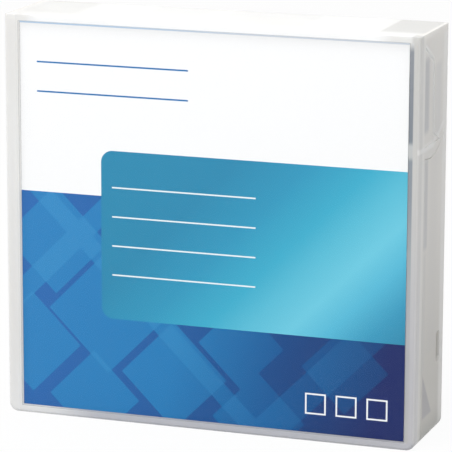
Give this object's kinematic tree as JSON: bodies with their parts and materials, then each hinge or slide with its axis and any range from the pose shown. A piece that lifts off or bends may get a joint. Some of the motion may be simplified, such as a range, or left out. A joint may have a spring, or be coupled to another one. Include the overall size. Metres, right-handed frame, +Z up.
{
  "type": "data tape cartridge",
  "caption": "Half-inch data tape cartridge in its closed see-through storage case with a printed card behind the front; the rear tray, door, write-protect tab, reel and brake move",
  "frame": {"origin": "middle of the rectangle that the closed case stands on", "axes": "+Z up towards the label end, -Y towards the printed card's face, +X to the right as seen from the front"},
  "size_m": [0.1156, 0.027, 0.11],
  "materials": {
    "case_plastic": "milky see-through polypropylene, smooth with faint flow marks",
    "printed_card": "coated white card with a printed lower field",
    "shell_plastic": "fine spark-textured dark slate polycarbonate",
    "screw_steel": "plated steel",
    "label_paper": "matt white label stock",
    "tab_plastic": "pale moulded tab",
    "circuit_board": "green solder mask",
    "reel_plastic": "light grey moulded reel",
    "plate_steel": "stamped steel with a turned grain",
    "tape_film": "dark magnetic film",
    "brake_plastic": "ivory moulded brake part",
    "pad_plastic": "blue moulded pad",
    "spring_steel": "bright spring wire and strip",
    "pin_steel": "ground steel pin",
    "clamp_plastic": "white moulded clip"
  },
  "bodies": {
    "case": {"case_lid": "case_plastic", "insert_card": "printed_card", "lower_shell": "shell_plastic", "upper_shell": "shell_plastic", "shell_screws": "screw_steel", "rear_label": "label_paper", "memory_board": "circuit_board", "leader_pin": "pin_steel", "leader_clamp": "clamp_plastic", "leader_tape": "tape_film", "pin_springs": "spring_steel", "door_spring": "spring_steel", "brake_spring": "spring_steel"},
    "tray": {"case_tray": "case_plastic"},
    "door": {"access_door": "shell_plastic"},
    "tab": {"write_protect_tab": "tab_plastic"},
    "reel": {"reel_hub": "reel_plastic", "reel_upper_flange": "reel_plastic", "drive_plate": "plate_steel", "tape_pack": "tape_film"},
    "brake": {"brake_gear": "brake_plastic"},
    "pad": {"release_pad": "pad_plastic"}
  },
  "joints": [
    {"name": "tray_hinge", "type": "hinge", "parent": "case", "child": "tray", "pos_m": [0, -0.003, 0.0975], "axis": [1, 0, 0], "range_deg": [0, 100]},
    {"name": "door_slide", "type": "slide", "parent": "case", "child": "door", "axis": [0, 0, 1], "range_m": [0, 0.0156], "stiffness_N_per_m": 15, "springref_m": -0.01, "deforming": ["door_spring"]},
    {"name": "write_protect_slide", "type": "slide", "parent": "case", "child": "tab", "axis": [1, 0, 0], "range_m": [0, 0.0036]},
    {"name": "reel_spin", "type": "hinge", "parent": "case", "child": "reel", "pos_m": [0, -0.00075, 0.0552], "axis": [0, 1, 0], "continuous": true},
    {"name": "brake_slide", "type": "slide", "parent": "case", "child": "brake", "axis": [0, -1, 0], "range_m": [0, 0.0015], "stiffness_N_per_m": 300, "springref_m": -0.005, "deforming": ["brake_spring"]},
    {"name": "pad_slide", "type": "slide", "parent": "reel", "child": "pad", "axis": [0, -1, 0], "range_m": [0, 0.0015]}
  ],
  "couplings": [
    {"joint": "pad_slide", "follows": "brake_slide", "ratio": 1}
  ]
}
